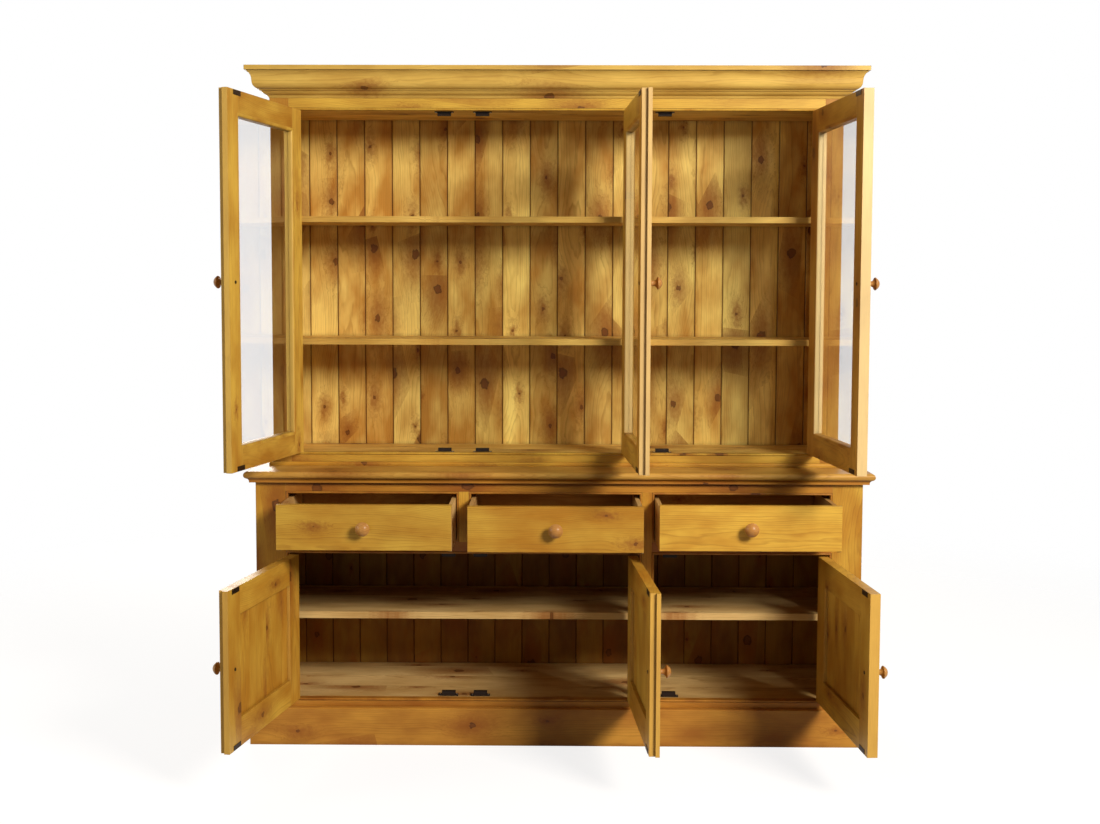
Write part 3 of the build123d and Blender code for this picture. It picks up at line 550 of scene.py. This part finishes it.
for level, member, finishes in (
    ("lower", lower_member, lower_finishes),
    ("upper", upper_member, upper_finishes),
):
    for place, (tones, edge_tone_and_sheen) in finishes.items():
        name = level + "_" + place + "_door"
        start, length, turned = shut_door(name, 0 if place == "right" else meeting_lap / 2)
        whole = {"turned": turned, "tone_spread": 0.12, "tones": tones}
        frame_pine = pine(name + " frame waxed pine", "XZY", start, ends=("ZXY", length, member),
                          edge_tone_and_sheen=edge_tone_and_sheen, **whole)
        finish_node(name + "_frame", frame_pine)
        if level == "lower":
            panel_pine = pine(name + " panel waxed pine", "ZXY", start, stave=panel_stave, **whole)
            finish_node(name + "_panel", panel_pine)
        else:
            bead_pine = pine(name + " glazing bead waxed pine", "ZXY", start, edge_tone_and_sheen=edge_tone_and_sheen, **whole)
            finish_node(name + "_glazing_beads", bead_pine)

# Panes of the upper doors
# Clear 3 mm float glass bedded behind the frame. Light goes straight through it, and the eye sees
# only a slight greying of what is behind.
glass, tree = blank_material("clear float glass")
pane = add(tree, "BsdfPrincipled", into={
    "Base Color": linear("#FFFFFF"),
    "Roughness": 0.0,
    "IOR": 1.5,
    "Transmission Weight": 1.0,
})
clear = add(tree, "BsdfTransparent", linear("#F2F5F4"))
path = add(tree, "LightPath").outputs
unseen = add(tree, "Math", path["Is Shadow Ray"], path["Is Diffuse Ray"], operation="MAXIMUM")
add(tree, "OutputMaterial", add(tree, "MixShader", unseen, pane, clear))
for name in nodes:
    if name.endswith("_glass"):
        finish_node(name, glass)

# Knobs
# Mushroom knobs turned from one piece of clear pine with the grain along the screw. They are
# stained redder than the fronts, and polished by hands to a soft gloss.
clear_wood_spacing = 9000.0
for name in nodes:
    if name.endswith("_knob"):
        finish_pine(name, "YXZ", "polished pine", tones=("#BE8A48", "#A87038"), roughness=0.3,
                    knot_spacing=clear_wood_spacing)

# Hinges, strikes, catches and screws
# Steel butt hinges and strike plates with a dark bronzed finish, moulded brown plastic catches with
# a magnet inside, and bright plated screws.
sheen_spread = 0.2


def solid_finish(name, colour, roughness, metallic, gloss, speckle, speckle_size):
    """A finish with a fine uneven sheen, speckled at a size given in millimetres."""
    material, tree = blank_material(name)
    spot = add(tree, "TexCoord").outputs["Object"]
    grit = add(tree, "TexNoise", into={"Vector": spot, "Scale": MM / speckle_size, "Detail": 2.0})
    light = add(tree, "Math", grit, speckle, 1 - speckle / 2, operation="MULTIPLY_ADD")
    smoothest = roughness - sheen_spread / 2
    skin = add(tree, "BsdfPrincipled", into={
        "Base Color": add(tree, "HueSaturation", into={"Color": linear(colour), "Value": light}),
        "Roughness": add(tree, "Math", grit, sheen_spread, smoothest, operation="MULTIPLY_ADD"),
        "Metallic": metallic,
        "Specular IOR Level": gloss,
    })
    add(tree, "OutputMaterial", skin)
    return material


# Bronzed steel: dark, with dull patches where the finish has rubbed
bronzed = solid_finish("bronzed steel", "#3A2A1E", 0.5, 0.9, 0.5, 0.6, 6)
# Moulded brown plastic: near black, with a soft sheen
plastic = solid_finish("moulded brown plastic", "#1E130C", 0.6, 0.0, 0.2, 0.3, 3)
# Zinc plated steel: small bright screw heads
plated = solid_finish("zinc plated steel", "#C9C2B6", 0.32, 1.0, 0.5, 0.2, 2)
for name in nodes:
    if name.endswith("_hardware") or name == "frame_hinges":
        finish_node(name, bronzed)
finish_node("magnetic_catches", plastic)
finish_node("catch_screws", plated)

# Studio: a white paper floor that fades into a white surround
# The paper is matt. The eye sees it near white with the cabinet's soft shadow on it, also through
# glass and in reflections, and it throws little light back at the cabinet. Sizes are in metres.
floor_reach = 9.0
fade_start = 2.2
fade_end = 4.2
paper_glow = 0.84
surround_light = 0.03


def seen_rays(tree):
    """1 where the eye looks, straight or through glass or in a reflection, and 0 for other light."""
    path = add(tree, "LightPath").outputs
    seen = add(tree, "Math", path["Is Camera Ray"], path["Is Glossy Ray"], operation="MAXIMUM")
    return add(tree, "Math", seen, path["Is Transmission Ray"], operation="MAXIMUM")


corners = [(-floor_reach, -floor_reach), (floor_reach, -floor_reach)]
corners += [(floor_reach, floor_reach), (-floor_reach, floor_reach)]
floor_mesh = bpy.data.meshes.new("studio floor")
floor_mesh.from_pydata([(x, y, 0) for x, y in corners], [], [(0, 1, 2, 3)])
floor = bpy.data.objects.new("studio_floor", floor_mesh)
bpy.context.scene.collection.objects.link(floor)
paper, tree = blank_material("white paper sweep")
where = add(tree, "TexCoord").outputs["Object"]
far = add(tree, "VectorMath", where, operation="LENGTH").outputs["Value"]
fade = add(tree, "MapRange", far, fade_start, fade_end, 0.0, 1.0, interpolation_type="SMOOTHSTEP")
matt = add(tree, "BsdfDiffuse", linear("#9C9C9C"))
glow = add(tree, "Emission", linear("#FFFFFF"), paper_glow)
veil = add(tree, "BsdfDiffuse", linear("#858585"))
lit = add(tree, "AddShader", glow, veil)
shown = add(tree, "MixShader", fade, lit, add(tree, "BsdfTransparent"))
add(tree, "OutputMaterial", add(tree, "MixShader", seen_rays(tree), matt, shown))
floor_mesh.materials.append(paper)

world = bpy.data.worlds.new("studio")
world.use_nodes = True
bpy.context.scene.world = world
tree = world.node_tree
tree.nodes.clear()
dim = add(tree, "Background", linear("#FFF6EA"), surround_light)
white = add(tree, "Background", linear("#FFFFFF"), 1.0)
add(tree, "OutputWorld", add(tree, "MixShader", seen_rays(tree), dim, white))

# Lamps: three soft boxes, each with its place, what it points at, its width and its watts
# The key lamp is high on the right, as in the photograph. A weak one on the left softens its
# shadows, and one behind lights the back for the other views.
for name, place, aim, size, power in (
    ("key_lamp", (2.85, -3.7, 3.1), (0, 0, 1), 1.4, 325),
    ("left_lamp", (-4.2, -1.3, 2.0), (-0.4, -0.2, 1.2), 1.8, 60),
    ("back_lamp", (-1.2, 4.6, 2.6), (0, 0.2, 1.0), 2.4, 150),
):
    light = bpy.data.lights.new(name, "AREA")
    light.shape = "SQUARE"
    light.size = size
    light.energy = power
    light.color = linear("#FFF7EC")[:3]
    lamp = bpy.data.objects.new(name, light)
    lamp.location = place
    lamp.rotation_euler = (Vector(aim) - lamp.location).to_track_quat("-Z", "Y").to_euler()
    lamp.visible_camera = False
    lamp.visible_transmission = False
    bpy.context.scene.collection.objects.link(lamp)

# Camera: in front of the cabinet at eye height, looking slightly down
# Its place in metres, its angles and its lens were fitted to the edges seen in the photograph,
# whose own pixels the two px values and the focal length are measured in.
frame_px = (1100, 824)
focal_px = 1420.7
centre_px = (537.8, 386.7)
eye = (-0.02546, -4.09945, 1.35152)
pitch = radians(4.099)
yaw = radians(-0.506)
roll = radians(0.164)
camera = bpy.data.cameras.new("camera")
camera.sensor_width = 36
camera.lens = camera.sensor_width * focal_px / frame_px[0]
camera.shift_x = (frame_px[0] / 2 - centre_px[0]) / frame_px[0]
camera.shift_y = (centre_px[1] - frame_px[1] / 2) / frame_px[0]
viewer = bpy.data.objects.new("camera", camera)
ahead = Vector((sin(yaw) * cos(pitch), cos(yaw) * cos(pitch), -sin(pitch)))
right = Vector((cos(yaw), -sin(yaw), 0))
up = right.cross(ahead)
tilted_right = right * cos(roll) + up * sin(roll)
tilted_up = up * cos(roll) - right * sin(roll)
turn = Matrix((tilted_right, tilted_up, -ahead)).transposed().to_4x4()
viewer.matrix_world = Matrix.Translation(eye) @ turn
bpy.context.scene.collection.objects.link(viewer)
bpy.context.scene.camera = viewer
bpy.context.scene.view_settings.view_transform = "Standard"
